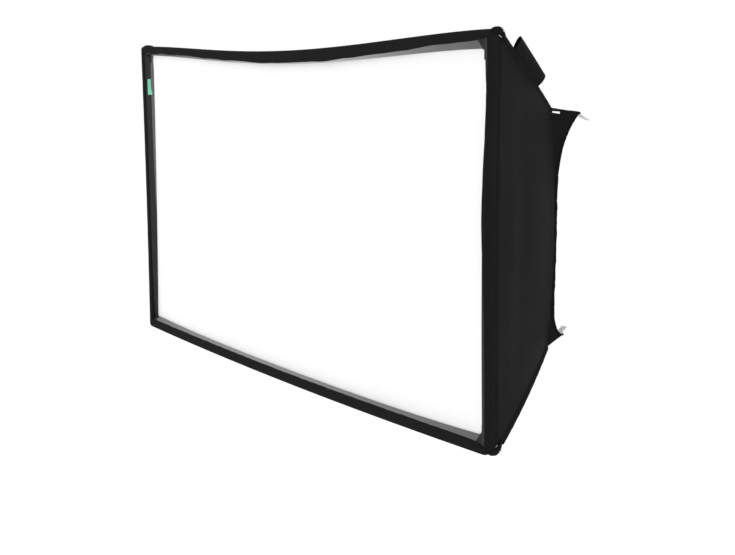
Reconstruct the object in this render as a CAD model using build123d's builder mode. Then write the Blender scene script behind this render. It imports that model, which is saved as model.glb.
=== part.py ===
from build123d import *
import os
from math import atan2, cos, degrees, hypot, radians, sin

# Strip softbox for a long flat studio light.
# Frame: origin in the middle of the rear seam, where the collar takes the light.
# +Y runs back towards the light, the open front faces -Y, +X right, +Z up. Millimetres.

# ---------------------------------------------------------------- overall sizes
FRONT_W = 1400.0        # outside width of the front rim
FRONT_H = 700.0         # outside height of the front rim
REAR_W = 1140.0         # width at the rear seam
REAR_H = 440.0          # height at the rear seam
DEPTH = 240.0           # front plane to rear seam
TOP_SAG = 20.0          # how far the middle of the top edge hangs down
BOTTOM_SAG = 8.0        # how far the middle of the bottom edge hangs down
REAR_SAG = 2.0          # the same at the rear seam
CORNER_R = 14.0         # outside corner of the rim
INNER_CORNER_R = 8.0    # corner of the diffuser and its tape
REAR_CORNER_R = 8.0     # corner at the rear seam
LEAST_R = 2.0           # smallest corner of an outline drawn in
TOP_BULGE = 1.0         # outward swell of the upper ridges half way back
BOTTOM_BULGE = 4.0      # the same for the lower ridges, which bend more

# ---------------------------------------------------------------- cloth
RIM_W = 19.0            # width of the rod sleeve round the front
RIM_D = 22.0            # depth of the rod sleeve
RIM_CLOTH = 1.5         # wall of the sleeve
TAPE_W = 12.0           # slanted loop tape: width in the front plane
TAPE_D = 16.0           # and its depth back to the diffuser
TAPE_T = 1.2
DIFFUSER_T = 1.0
PANEL_T = 1.2
LINING_T = 0.5
SEAM_GAP = 0.3          # clearance between cloth pieces that meet at a seam

# ---------------------------------------------------------------- frame rods
ROD_R = 4.0             # rods of the front frame
RIDGE_ROD_R = 3.0       # rods along the four ridges
ROD_FIT = 0.1           # radial clearance of a rod in its socket
SOCKET_W = 14.0         # width and depth of the moulded sockets
ELBOW_L = 48.0          # reach of a corner elbow from the outside corner
ROD_CORNER_GAP = 10.0   # rod end to the crossing of the rod lines

# ---------------------------------------------------------------- middle hinges
HINGE_CLEAR = 0.5       # running gap between a knuckle and the other leaf's socket
HINGE_WINDOW = 2.0      # clearance of the sleeve's cut-out round a hinge
LEAF_L = 42.0           # length of one hinge leaf
LEAF_STOP = 0.15        # half the gap between the stop faces
KNUCKLE_R = 7.0
KNUCKLE_CLEAR = 8.0     # start of the rear part of a leaf
KNUCKLE_ARM = 12.0      # reach of a knuckle's arm from the pin
LEAF_FRONT = 1.0        # rear face of a leaf ahead of the pin line
KNUCKLE_H = 6.4         # height of one knuckle
KNUCKLE_GAP = 0.4
PIN_HEAD = 0.8          # height of a pin's head
HINGE_PIN_R = 3.0
HINGE_HEAD_R = 4.2
RUN_FIT = 0.05          # radial running clearance on a pin
PRESS_FIT = 0.02        # radial clearance where a pin is gripped

# ---------------------------------------------------------------- ridge pivots
PIVOT_BACK = 7.0        # pivot behind the sleeve
RIDGE_INSET = 5.0       # rod line inside the sharp ridge
EAR_R = 5.5
EAR_T = 2.6
EAR_CLEAR = 0.4         # beyond the ears, round the tongue
TONGUE_R = 5.0
TONGUE_T = 4.0
TONGUE_GAP = 0.2
RIDGE_PIN_R = 1.5
RIDGE_HEAD_R = 3.0
EYE_SOCKET_R = 4.8
EYE_SOCKET_START = 8.0
EYE_SOCKET_L = 14.0
EYE_ARM_SINK = 2.0      # how far the arm runs into the socket
ROD_SEAT = 2.5          # rod end inside the socket's floor
STUB_OUT = 9.0          # stub line outside the pivot, along the ridge diagonal
STUB_BOW = 1.5
NOSE_R = 4.5
NOSE_BACK = 14.0        # nose behind the front plane
CAP_R = 5.0
CAP_L = 16.0
CAP_WALL = 1.6
CAP_ROUND = 0.75        # rounding of the cap's end, as a share of its wall
SLEEVE_R = 6.6
SLEEVE_T = 1.1
SLEEVE_START = 24.0     # from the pivot along the rod
SLEEVE_END = 4.0        # from the rod's rear end

# ---------------------------------------------------------------- rear collar
COLLAR_D = 68.0         # depth at the corners
COLLAR_MID_D = 10.0     # depth at the middle of each side
COLLAR_IN = 10.0        # how far the collar's rear edge draws in
COLLAR_CORNER = 22.0    # stretch at a corner with the full depth
HEM_W = 6.0
HEM_T = 2.6
PULL_W = 14.0
PULL_L = 30.0
PULL_T = 1.6
PULL_DROOP = 24.0       # degrees

# ---------------------------------------------------------------- small pieces
LABEL_L = 150.0
LABEL_W = 26.0
LABEL_T = 4.6
LABEL_CLOTH = 1.2
ROUND_SLACK = 0.05      # keeps a rounded end just short of a full half circle
LABEL_AT = 0.55         # place along the ridge
TAB_H = 38.0
TAB_W = 17.0
TAB_T = 0.8
TAB_R = 3.0
TAB_BELOW_CORNER = 98.0

# ---------------------------------------------------------------- derived places
FRONT_Y = -DEPTH
RIM_BACK_Y = FRONT_Y + RIM_D
ROD_IN = RIM_W / 2      # rod line inside the rim's outline
ROD_Y = FRONT_Y + RIM_D / 2
SOCKET_BACK_Y = ROD_Y + SOCKET_W / 2
HINGE_Y = SOCKET_BACK_Y + KNUCKLE_R + HINGE_CLEAR
PIVOT_Y = RIM_BACK_Y + PIVOT_BACK
NOSE_Y = FRONT_Y + NOSE_BACK
MIDDLE_Y = RIM_BACK_Y / 2
DIFFUSER_Y = FRONT_Y + TAPE_D
DIFFUSER_IN = RIM_W + TAPE_W + 2 * SEAM_GAP + TAPE_T / 2
TAPER = ((FRONT_W - REAR_W) / 2, (FRONT_H - REAR_H) / 2)
TAPER_L = hypot(*TAPER)
DIAGONAL = (TAPER[0] / TAPER_L, TAPER[1] / TAPER_L)
FAR = FRONT_W           # reach of cutting blocks
OVER = 1.0              # how far a cut runs past a face
EARS = TONGUE_T + 2 * (TONGUE_GAP + EAR_T)

SIDES = {"left": -1, "right": 1}
LEVELS = {"top": 1, "bottom": -1}
NODES = {}


def station(y):
    """Sketch plane square to the softbox's axis; its normal looks forward."""
    return Plane.XZ.offset(-y)


def keep(name, part):
    """Label a finished piece and file it under its node name."""
    part.label = name
    NODES[name] = part


# ---------------------------------------------------------------- outlines
def outline(top, bottom, top_sag, bottom_sag, radius):
    """Closed frame outline between its upper and lower right corners, mirrored about the
    middle: straight sides, top and bottom edges that hang a little."""
    (top_x, top_z), (low_x, low_z) = top, bottom
    with BuildSketch() as face:
        with BuildLine():
            ThreePointArc((-top_x, top_z), (0, top_z - top_sag), (top_x, top_z))
            Line((top_x, top_z), (low_x, low_z))
            ThreePointArc((low_x, low_z), (0, low_z - bottom_sag), (-low_x, low_z))
            Line((-low_x, low_z), (-top_x, top_z))
        make_face()
        fillet(face.vertices(), radius)
    return face.sketch


def rim_face(inset):
    """Outline of the front rim, drawn in by inset."""
    radius = max(CORNER_R - inset, LEAST_R) if inset < RIM_W else INNER_CORNER_R
    half_w = FRONT_W / 2 - inset
    half_h = FRONT_H / 2 - inset
    return outline((half_w, half_h), (half_w, -half_h), TOP_SAG, BOTTOM_SAG, radius)


def corner_at(y, level, inset):
    """Right-hand corner of the tapered body at depth y, drawn in by inset."""
    back = (y - RIM_BACK_Y) / -RIM_BACK_Y
    bulge = TOP_BULGE if level > 0 else BOTTOM_BULGE
    swell = bulge * 4 * back * (1 - back) if 0 < back < 1 else 0.0
    return (FRONT_W / 2 - TAPER[0] * back + swell - inset,
            level * (FRONT_H / 2 - TAPER[1] * back + swell - inset))


def panel_face(y, inset):
    """Outline of the tapered cloth body at depth y, drawn in by inset."""
    back = (y - RIM_BACK_Y) / -RIM_BACK_Y
    return outline(corner_at(y, 1, inset), corner_at(y, -1, inset),
                   TOP_SAG + (REAR_SAG - TOP_SAG) * back,
                   BOTTOM_SAG + (REAR_SAG - BOTTOM_SAG) * back,
                   CORNER_R + (REAR_CORNER_R - CORNER_R) * back - inset)


def body_shell(inset, wall):
    """Tapered tube of cloth from the rim back to the rear seam."""
    with BuildPart() as shell:
        for y in (RIM_BACK_Y + SEAM_GAP, MIDDLE_Y, -SEAM_GAP):
            with BuildSketch(station(y)):
                add(panel_face(y, inset))
        loft()
        for y in (RIM_BACK_Y + SEAM_GAP, MIDDLE_Y, -SEAM_GAP):
            with BuildSketch(station(y)):
                add(panel_face(y, inset + wall))
        loft(mode=Mode.SUBTRACT)
    return shell.part


# ---------------------------------------------------------------- ridge geometry
def corner_plane(side, level, point):
    """Plane of a ridge: x out along the diagonal, y forward, z along the pivot."""
    out = Vector(side * DIAGONAL[0], 0, level * DIAGONAL[1])
    pivot = Vector(level * DIAGONAL[1], 0, -side * DIAGONAL[0])
    return Plane(origin=point, x_dir=out, z_dir=pivot)


def ridge_point(side, level, y):
    """Point of the rod line inside a ridge at depth y."""
    x, z = corner_at(y, level, 0)
    return Vector(side * (x - RIDGE_INSET * DIAGONAL[0]), y, z - level * RIDGE_INSET * DIAGONAL[1])


def ridge_curve(side, level):
    """Bowed line of a ridge rod, from its pivot to its rear end."""
    return ThreePointArc(ridge_point(side, level, PIVOT_Y),
                         ridge_point(side, level, MIDDLE_Y),
                         ridge_point(side, level, -SLEEVE_END))


def stretch(curve, start, end):
    """The part of a curve between two lengths along it."""
    first, last = start / curve.length, end / curve.length
    return ThreePointArc(curve @ first, curve @ ((first + last) / 2), curve @ last)


def tube_along(curve, radius, bore=0.0):
    """Round rod or tube along a curve."""
    with BuildPart() as tube:
        with BuildLine():
            add(curve)
        with BuildSketch(Plane(origin=curve @ 0, z_dir=curve % 0)):
            Circle(radius)
            if bore:
                Circle(bore, mode=Mode.SUBTRACT)
        sweep()
    return tube.part


# ---------------------------------------------------------------- front frame rods
def long_rod_curve(side, level):
    """Half of a bowed long rod, from the hinge out to the corner."""
    half_w = FRONT_W / 2 - ROD_IN
    half_h = FRONT_H / 2 - ROD_IN
    sag = TOP_SAG if level > 0 else -BOTTOM_SAG
    whole = ThreePointArc((-side * half_w, ROD_Y, level * half_h),
                          (0, ROD_Y, level * (half_h - sag)),
                          (side * half_w, ROD_Y, level * half_h))
    middle = whole.length / 2
    return stretch(whole, middle + KNUCKLE_R, whole.length - ROD_CORNER_GAP)


def side_rod_ends(side):
    x = side * (FRONT_W / 2 - ROD_IN)
    reach = FRONT_H / 2 - ROD_IN - ROD_CORNER_GAP
    return (x, ROD_Y, -reach), (x, ROD_Y, reach)


LONG_RODS = {(side, level): long_rod_curve(side, level)
             for side in SIDES.values() for level in LEVELS.values()}
RIDGES = {(side, level): ridge_curve(side, level)
          for side in SIDES.values() for level in LEVELS.values()}


def straight_rod(side, radius):
    """Upright rod of one side of the front frame."""
    start, end = side_rod_ends(side)
    with BuildPart() as rod:
        with BuildLine():
            Line(start, end)
        with BuildSketch(Plane(origin=start, z_dir=(0, 0, 1))):
            Circle(radius)
        sweep()
    return rod.part


for side_name, side in SIDES.items():
    for level_name, level in LEVELS.items():
        keep(f"front_rod_{level_name}_{side_name}", tube_along(LONG_RODS[side, level], ROD_R))
    keep(f"side_rod_{side_name}", straight_rod(side, ROD_R))


# ---------------------------------------------------------------- corner elbows
def corner_joint(side, level):
    """Moulded elbow in a rim corner, with a nose out through the cloth for the stub."""
    pivot = ridge_point(side, level, PIVOT_Y)
    nose_end = corner_plane(side, level, pivot).from_local_coords(
        Vector(STUB_OUT, PIVOT_Y - NOSE_Y, 0))
    inset = (RIM_W - SOCKET_W) / 2
    out = Vector(side * DIAGONAL[0], 0, level * DIAGONAL[1])
    with BuildPart() as joint:
        with BuildSketch(station(SOCKET_BACK_Y)):
            add(rim_face(inset))
            add(rim_face(inset + SOCKET_W), mode=Mode.SUBTRACT)
            with Locations((side * FRONT_W / 2, level * FRONT_H / 2)):
                Rectangle(2 * ELBOW_L, 2 * ELBOW_L, mode=Mode.INTERSECT)
        extrude(amount=SOCKET_W)
        with BuildSketch(Plane(origin=nose_end - out * (STUB_OUT + SOCKET_W / 2), z_dir=out)):
            Circle(NOSE_R)
        extrude(amount=STUB_OUT + SOCKET_W / 2)
        with Locations(nose_end):
            Sphere(NOSE_R)
        add(tube_along(LONG_RODS[side, level], ROD_R + ROD_FIT), mode=Mode.SUBTRACT)
        add(straight_rod(side, ROD_R + ROD_FIT), mode=Mode.SUBTRACT)
        add(stub_rod(side, level, RIDGE_ROD_R + ROD_FIT), mode=Mode.SUBTRACT)
    return joint.part


def stub_curve(side, level):
    """Short bent rod outside the rim corner, from the nose back to the pivot arm."""
    frame = corner_plane(side, level, ridge_point(side, level, PIVOT_Y))
    reach = PIVOT_Y - NOSE_Y
    return ThreePointArc(*(frame.from_local_coords(Vector(*spot)) for spot in (
        (STUB_OUT, reach, 0),
        (STUB_OUT + STUB_BOW, reach / 2, 0),
        (STUB_OUT, 0, 0))))


def stub_rod(side, level, radius):
    return tube_along(stub_curve(side, level), radius)


def ridge_stub(side, level):
    """Pale stub with the two ears that the ridge rod folds between."""
    frame = corner_plane(side, level, ridge_point(side, level, PIVOT_Y))
    with BuildPart() as stub:
        with BuildSketch(frame.offset(-EARS / 2)):
            Circle(EAR_R)
            with Locations((STUB_OUT / 2, 0)):
                Rectangle(STUB_OUT, EAR_R)
            with Locations((STUB_OUT, 0)):
                Circle(RIDGE_ROD_R)
        extrude(amount=EARS)
        with BuildSketch(frame.offset(-TONGUE_T / 2 - TONGUE_GAP)):
            Circle(EAR_R + EAR_CLEAR)
        extrude(amount=TONGUE_T + 2 * TONGUE_GAP, mode=Mode.SUBTRACT)
        with BuildSketch(frame.offset(-EARS / 2)):
            Circle(RIDGE_PIN_R + PRESS_FIT)
        extrude(amount=EARS, mode=Mode.SUBTRACT)
        add(stub_rod(side, level, RIDGE_ROD_R))
    return stub.part


def ridge_pin(side, level):
    """Rivet through the ears and the tongue, with a low head at each end."""
    frame = corner_plane(side, level, ridge_point(side, level, PIVOT_Y))
    with BuildPart() as pin:
        with BuildSketch(frame.offset(-EARS / 2 - PIN_HEAD)):
            Circle(RIDGE_PIN_R)
        extrude(amount=EARS + 2 * PIN_HEAD)
        for start in (-EARS / 2 - PIN_HEAD, EARS / 2):
            with BuildSketch(frame.offset(start)):
                Circle(RIDGE_HEAD_R)
            extrude(amount=PIN_HEAD)
    return pin.part


def ridge_eye(side, level):
    """Tongue on the pivot with the socket that grips the ridge rod's front end."""
    curve = RIDGES[side, level]
    frame = corner_plane(side, level, curve @ 0)
    along = curve % 0
    with BuildPart() as eye:
        with BuildSketch(frame.offset(-TONGUE_T / 2)):
            Circle(TONGUE_R)
        extrude(amount=TONGUE_T)
        arm = Plane(origin=curve @ 0, x_dir=frame.z_dir, z_dir=along)
        with BuildSketch(arm):
            Rectangle(TONGUE_T, 2 * RIDGE_ROD_R)
        extrude(amount=EYE_SOCKET_START + EYE_ARM_SINK)
        with BuildSketch(arm.offset(EYE_SOCKET_START)):
            Circle(EYE_SOCKET_R)
        extrude(amount=EYE_SOCKET_L)
        with BuildSketch(frame.offset(-TONGUE_T)):
            Circle(RIDGE_PIN_R + RUN_FIT)
        extrude(amount=2 * TONGUE_T, mode=Mode.SUBTRACT)
        add(ridge_rod(side, level, RIDGE_ROD_R + ROD_FIT), mode=Mode.SUBTRACT)
    return eye.part


def ridge_rod(side, level, radius):
    curve = RIDGES[side, level]
    return tube_along(stretch(curve, EYE_SOCKET_START + ROD_SEAT, curve.length), radius)


def ridge_cap(side, level):
    """Rounded plastic cap on the rear end of a ridge rod."""
    curve = RIDGES[side, level]
    base = Plane(origin=curve @ 1, z_dir=curve % 1).offset(-CAP_L)
    with BuildPart() as cap:
        with BuildSketch(base):
            Circle(CAP_R)
        extrude(amount=CAP_L + CAP_WALL)
        fillet(cap.edges().filter_by(GeomType.CIRCLE).sort_by(Axis(curve @ 1, curve % 1))[-1],
               CAP_WALL * CAP_ROUND)
        add(ridge_rod(side, level, RIDGE_ROD_R + ROD_FIT), mode=Mode.SUBTRACT)
    return cap.part


def pair(maker, side):
    """Top and bottom copy of a piece on one side, as one node of separate solids."""
    with BuildPart() as both:
        for level in LEVELS.values():
            add(maker(side, level))
    return both.part


for side_name, side in SIDES.items():
    for level_name, level in LEVELS.items():
        keep(f"corner_joint_{level_name}_{side_name}", corner_joint(side, level))
        keep(f"ridge_eye_{level_name}_{side_name}", ridge_eye(side, level))
        keep(f"ridge_rod_{level_name}_{side_name}", ridge_rod(side, level, RIDGE_ROD_R))
        keep(f"ridge_cap_{level_name}_{side_name}", ridge_cap(side, level))
    keep(f"ridge_stubs_{side_name}", pair(ridge_stub, side))
    keep(f"ridge_pins_{side_name}", pair(ridge_pin, side))


# ---------------------------------------------------------------- middle hinges
def hinge_level(level):
    """Height of the long rods at the hinge."""
    sag = TOP_SAG if level > 0 else -BOTTOM_SAG
    return level * (FRONT_H / 2 - ROD_IN - sag)


def knuckle_heights(level):
    """Low ends of the three knuckles, stacked from the rod towards the middle."""
    pitch = KNUCKLE_H + KNUCKLE_GAP
    first = hinge_level(level) - (KNUCKLE_H if level > 0 else 0)
    return [first - level * step * pitch for step in range(3)]


def hinge_leaf(side, level):
    """Half of a middle hinge: rod socket with a stop face, knuckles behind it."""
    z = hinge_level(level)
    knuckles = knuckle_heights(level)
    mine = knuckles[1:2] if side > 0 else knuckles[0::2]
    low = min(knuckles)
    high = max(knuckles) + KNUCKLE_H
    bore = HINGE_PIN_R + (RUN_FIT if side > 0 else PRESS_FIT)
    with BuildPart() as leaf:
        with BuildSketch(station(SOCKET_BACK_Y)):
            with Locations((side * (LEAF_STOP + LEAF_L) / 2, z)):
                Rectangle(LEAF_L - LEAF_STOP, SOCKET_W)
        extrude(amount=SOCKET_W)
        with BuildSketch(station(HINGE_Y - LEAF_FRONT)):
            with Locations((side * (KNUCKLE_CLEAR + LEAF_L) / 2, (low + high) / 2)):
                Rectangle(LEAF_L - KNUCKLE_CLEAR, high - low)
        extrude(amount=HINGE_Y - LEAF_FRONT - SOCKET_BACK_Y)
        for height in mine:
            with BuildSketch(Plane.XY.offset(height)):
                with Locations((0, HINGE_Y)):
                    Circle(KNUCKLE_R)
                with Locations((side * KNUCKLE_ARM / 2, HINGE_Y - KNUCKLE_R / 2)):
                    Rectangle(KNUCKLE_ARM, KNUCKLE_R)
            extrude(amount=KNUCKLE_H)
        with BuildSketch(Plane.XY.offset(low)):
            with Locations((0, HINGE_Y)):
                Circle(bore)
        extrude(amount=high - low, mode=Mode.SUBTRACT)
        add(tube_along(LONG_RODS[side, level], ROD_R + ROD_FIT), mode=Mode.SUBTRACT)
    return leaf.part


def hinge_pin(level):
    """Pin through the three knuckles, with a head at each end."""
    knuckles = knuckle_heights(level)
    low = min(knuckles)
    high = max(knuckles) + KNUCKLE_H
    with BuildPart() as pin:
        with BuildSketch(Plane.XY.offset(low)):
            with Locations((0, HINGE_Y)):
                Circle(HINGE_PIN_R)
        extrude(amount=high - low)
        for start in (low - PIN_HEAD, high):
            with BuildSketch(Plane.XY.offset(start)):
                with Locations((0, HINGE_Y)):
                    Circle(HINGE_HEAD_R)
            extrude(amount=PIN_HEAD)
    return pin.part


for level_name, level in LEVELS.items():
    for side_name, side in SIDES.items():
        keep(f"hinge_leaf_{level_name}_{side_name}", hinge_leaf(side, level))
with BuildPart() as hinge_pins:
    for level in LEVELS.values():
        add(hinge_pin(level))
keep("hinge_pins", hinge_pins.part)


# ---------------------------------------------------------------- cutting regions
def region(points):
    """Prism through the whole depth over a polygon in the front plane."""
    with BuildPart() as prism:
        with BuildSketch(station(FAR)):
            with BuildLine():
                Polyline(*points, close=True)
            make_face()
        extrude(amount=2 * FAR)
    return prism.part


def ridge_span(level, side):
    """Inner and outer points of the line that a ridge follows, seen from the front."""
    reach = REAR_H / 4
    inner = (side * (REAR_W / 2 - reach * DIAGONAL[0]), level * (REAR_H / 2 - reach * DIAGONAL[1]))
    outer = (side * (FRONT_W / 2 + reach * DIAGONAL[0]), level * (FRONT_H / 2 + reach * DIAGONAL[1]))
    return inner, outer


def half_region(side):
    """One side of the middle fold."""
    gap = side * SEAM_GAP / 2
    return region([(gap, -FAR), (gap, FAR), (side * FAR, FAR), (side * FAR, -FAR)])


def long_panel_region(side, level):
    inner, outer = ridge_span(level, side)
    gap = side * SEAM_GAP / 2
    return region([(gap, inner[1]), inner, outer, (gap, outer[1])])


def side_panel_region(side):
    top_in, top_out = ridge_span(1, side)
    low_in, low_out = ridge_span(-1, side)
    return region([top_in, top_out, low_out, low_in])


def cut_out(shape, block):
    """The part of a shape inside a cutting block."""
    with BuildPart() as piece:
        add(shape)
        add(block, mode=Mode.INTERSECT)
    return piece.part


# ---------------------------------------------------------------- front rim sleeve
with BuildPart() as rim:
    with BuildSketch(station(RIM_BACK_Y)):
        add(rim_face(0))
        add(rim_face(RIM_W), mode=Mode.SUBTRACT)
    extrude(amount=RIM_D)
    with BuildSketch(station(RIM_BACK_Y - RIM_CLOTH)):
        add(rim_face(RIM_CLOTH))
        add(rim_face(RIM_W - RIM_CLOTH), mode=Mode.SUBTRACT)
    extrude(amount=RIM_D - 2 * RIM_CLOTH, mode=Mode.SUBTRACT)
    for level in LEVELS.values():
        knuckles = knuckle_heights(level)
        far_end = min(knuckles) if level > 0 else max(knuckles) + KNUCKLE_H
        near_end = hinge_level(level) + level * (SOCKET_W / 2 + SEAM_GAP)
        with BuildSketch(station(RIM_BACK_Y + OVER)):
            with Locations((0, (far_end - level * HINGE_WINDOW + near_end) / 2)):
                Rectangle(2 * (LEAF_L + HINGE_WINDOW),
                          abs(near_end - far_end + level * HINGE_WINDOW))
        extrude(amount=RIM_BACK_Y - SOCKET_BACK_Y + 2 * OVER, mode=Mode.SUBTRACT)
    for side in SIDES.values():
        for level in LEVELS.values():
            out = Vector(side * DIAGONAL[0], 0, level * DIAGONAL[1])
            foot = ridge_point(side, level, NOSE_Y) - out * RIM_W
            with BuildSketch(Plane(origin=foot, z_dir=out)):
                Circle(NOSE_R + SEAM_GAP)
            extrude(amount=2 * RIM_W, mode=Mode.SUBTRACT)

rim_inside = FRONT_W / 2 - RIM_W
for side_name, side in SIDES.items():
    edge = side * (rim_inside - SEAM_GAP / 2)
    keep(f"rim_side_{side_name}", cut_out(rim.part, region(
        [(edge + side * SEAM_GAP, -FAR), (edge + side * SEAM_GAP, FAR),
         (side * FAR, FAR), (side * FAR, -FAR)])))
    for level_name, level in LEVELS.items():
        gap = side * SEAM_GAP / 2
        keep(f"rim_{level_name}_{side_name}", cut_out(rim.part, region(
            [(gap, 0), (gap, level * FAR), (edge, level * FAR), (edge, 0)])))

# ---------------------------------------------------------------- loop tape, diffuser
tape_front_y = FRONT_Y + RIM_CLOTH
with BuildPart() as tape:
    with BuildSketch(station(tape_front_y)):
        add(rim_face(RIM_W + SEAM_GAP))
    with BuildSketch(station(DIFFUSER_Y + DIFFUSER_T / 2)):
        add(rim_face(RIM_W + TAPE_W))
    loft()
    with BuildSketch(station(tape_front_y)):
        add(rim_face(RIM_W + SEAM_GAP + TAPE_T))
    with BuildSketch(station(DIFFUSER_Y + DIFFUSER_T / 2)):
        add(rim_face(RIM_W + TAPE_W + TAPE_T))
    loft(mode=Mode.SUBTRACT)
with BuildPart() as diffuser:
    with BuildSketch(station(DIFFUSER_Y + DIFFUSER_T / 2)):
        add(rim_face(DIFFUSER_IN + TAPE_T / 2))
    extrude(amount=DIFFUSER_T)
for side_name, side in SIDES.items():
    keep(f"loop_tape_{side_name}", cut_out(tape.part, half_region(side)))
    keep(f"diffuser_{side_name}", cut_out(diffuser.part, half_region(side)))

# ---------------------------------------------------------------- cloth body
ridge_clear = {key: tube_along(curve, SLEEVE_R + SEAM_GAP) for key, curve in RIDGES.items()}
pivot_clear = EAR_R + EAR_T + SEAM_GAP


def clear_ridges(shape):
    """Trim cloth back from the ridge sleeves and the pivots."""
    with BuildPart() as trimmed:
        add(shape)
        for (side, level), block in ridge_clear.items():
            add(block, mode=Mode.SUBTRACT)
            with Locations(RIDGES[side, level] @ 0):
                Sphere(pivot_clear, mode=Mode.SUBTRACT)
            with Locations(RIDGES[side, level] @ 1):
                Sphere(SLEEVE_R + SEAM_GAP, mode=Mode.SUBTRACT)
    return trimmed.part


panels = clear_ridges(body_shell(0, PANEL_T))
lining = clear_ridges(body_shell(PANEL_T + SEAM_GAP, LINING_T))
for side_name, side in SIDES.items():
    keep(f"side_panel_{side_name}", cut_out(panels, side_panel_region(side)))
    for level_name, level in LEVELS.items():
        keep(f"{level_name}_panel_{side_name}", cut_out(panels, long_panel_region(side, level)))
    keep(f"lining_{side_name}", cut_out(lining, half_region(side)))


def ridge_sleeve(side, level):
    curve = RIDGES[side, level]
    return tube_along(stretch(curve, SLEEVE_START, curve.length - CAP_WALL / 2),
                      SLEEVE_R, SLEEVE_R - SLEEVE_T)


for side_name, side in SIDES.items():
    keep(f"ridge_sleeves_{side_name}", pair(ridge_sleeve, side))


# ---------------------------------------------------------------- rear collar
def collar_ring(inset, wall):
    """Short tapered ring of cloth behind the rear seam."""
    with BuildPart() as ring:
        for grow in (0, wall):
            for y, drawn in ((SEAM_GAP, 0), (COLLAR_D, COLLAR_IN)):
                half_w = REAR_W / 2 - drawn - inset - grow
                half_h = REAR_H / 2 - drawn - inset - grow
                with BuildSketch(station(y)):
                    add(outline((half_w, half_h), (half_w, -half_h),
                                REAR_SAG, REAR_SAG, REAR_CORNER_R - inset / 2 - grow))
            loft(mode=Mode.SUBTRACT if grow else Mode.ADD)
    return ring.part


def hem_cut(shift):
    """Everything behind the concave rear edge, moved back by shift."""
    half_w = REAR_W / 2 - COLLAR_CORNER
    half_h = REAR_H / 2 - COLLAR_CORNER
    with BuildPart() as block:
        with BuildSketch(Plane.YZ):
            with BuildLine():
                ThreePointArc((COLLAR_D + shift, -half_h), (COLLAR_MID_D + shift, 0),
                              (COLLAR_D + shift, half_h))
                Polyline((COLLAR_D + shift, half_h), (2 * COLLAR_D, half_h),
                         (2 * COLLAR_D, -half_h), (COLLAR_D + shift, -half_h))
            make_face()
        extrude(amount=FAR, both=True)
        with BuildSketch(Plane.XY):
            with BuildLine():
                ThreePointArc((-half_w, COLLAR_D + shift), (0, COLLAR_MID_D + shift),
                              (half_w, COLLAR_D + shift))
                Polyline((half_w, COLLAR_D + shift), (half_w, 2 * COLLAR_D),
                         (-half_w, 2 * COLLAR_D), (-half_w, COLLAR_D + shift))
            make_face()
        extrude(amount=FAR, both=True)
    return block.part


with BuildPart() as collar:
    add(collar_ring(0, PANEL_T))
    add(hem_cut(0), mode=Mode.SUBTRACT)
with BuildPart() as hem:
    add(collar_ring(-(HEM_T - PANEL_T) / 2, HEM_T))
    add(hem_cut(SEAM_GAP), mode=Mode.INTERSECT)
    add(hem_cut(HEM_W), mode=Mode.SUBTRACT)
for side_name, side in SIDES.items():
    keep(f"rear_collar_{side_name}", cut_out(collar.part, half_region(side)))
    keep(f"collar_hem_{side_name}", cut_out(hem.part, half_region(side)))


def pull_tab(side, level):
    """Webbing tab sewn inside the collar's corner, drooping inwards behind it."""
    x = side * (REAR_W / 2 - COLLAR_CORNER - PULL_W / 2)
    start_y = COLLAR_D - HEM_W
    z = level * (REAR_H / 2 - COLLAR_IN * start_y / COLLAR_D - PANEL_T - 2 * SEAM_GAP)
    lean = radians(PULL_DROOP)
    back = Vector(0, cos(lean), -level * sin(lean))
    start = Vector(x, start_y, z - level * PULL_T / 2)
    with BuildPart() as tab:
        with BuildSketch(Plane(origin=start, x_dir=(1, 0, 0), z_dir=back)):
            Rectangle(PULL_W, PULL_T)
        extrude(amount=PULL_L)
        fillet(tab.faces().sort_by(Axis.Y)[-1].edges().filter_by(
            lambda edge: edge.length < 2 * PULL_T), PULL_T / 3)
    return tab.part


for side_name, side in SIDES.items():
    keep(f"pull_tabs_{side_name}", pair(pull_tab, side))

# ---------------------------------------------------------------- label loop, release tab
ridge = RIDGES[1, 1]
label_frame = corner_plane(1, 1, ridge @ LABEL_AT)
label_plane = Plane(origin=ridge @ LABEL_AT, x_dir=label_frame.z_dir, z_dir=ridge % LABEL_AT)
outward = -1 if label_plane.y_dir.dot(label_frame.x_dir) < 0 else 1
with BuildPart() as label_loop:
    with BuildSketch(label_plane.offset(-LABEL_L / 2)):
        with Locations((0, outward * (SLEEVE_R + SEAM_GAP + LABEL_W / 2))):
            RectangleRounded(LABEL_T, LABEL_W, LABEL_T / 2 - ROUND_SLACK)
            RectangleRounded(LABEL_T - 2 * LABEL_CLOTH, LABEL_W - 2 * LABEL_CLOTH,
                             LABEL_T / 2 - LABEL_CLOTH - ROUND_SLACK, mode=Mode.SUBTRACT)
    extrude(amount=LABEL_L)
keep("label_loop", label_loop.part)

tape_slope = Vector(TAPE_W, TAPE_D, 0).normalized()
tab_normal = Vector(tape_slope.Y, -tape_slope.X, 0)
tab_centre = (Vector(-FRONT_W / 2 + RIM_W + TAPE_W / 2, FRONT_Y + TAPE_D / 2,
                     FRONT_H / 2 - TAB_BELOW_CORNER)
              + tab_normal * (TAPE_T + SEAM_GAP))
with BuildPart() as release_tab:
    with BuildSketch(Plane(origin=tab_centre, x_dir=tape_slope, z_dir=tab_normal)):
        RectangleRounded(TAB_W, TAB_H, TAB_R)
    extrude(amount=TAB_T)
keep("release_tab", release_tab.part)

# ---------------------------------------------------------------- export
os.makedirs("parts", exist_ok=True)
for name, part in NODES.items():
    export_step(part, f"parts/{name}.step")

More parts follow.
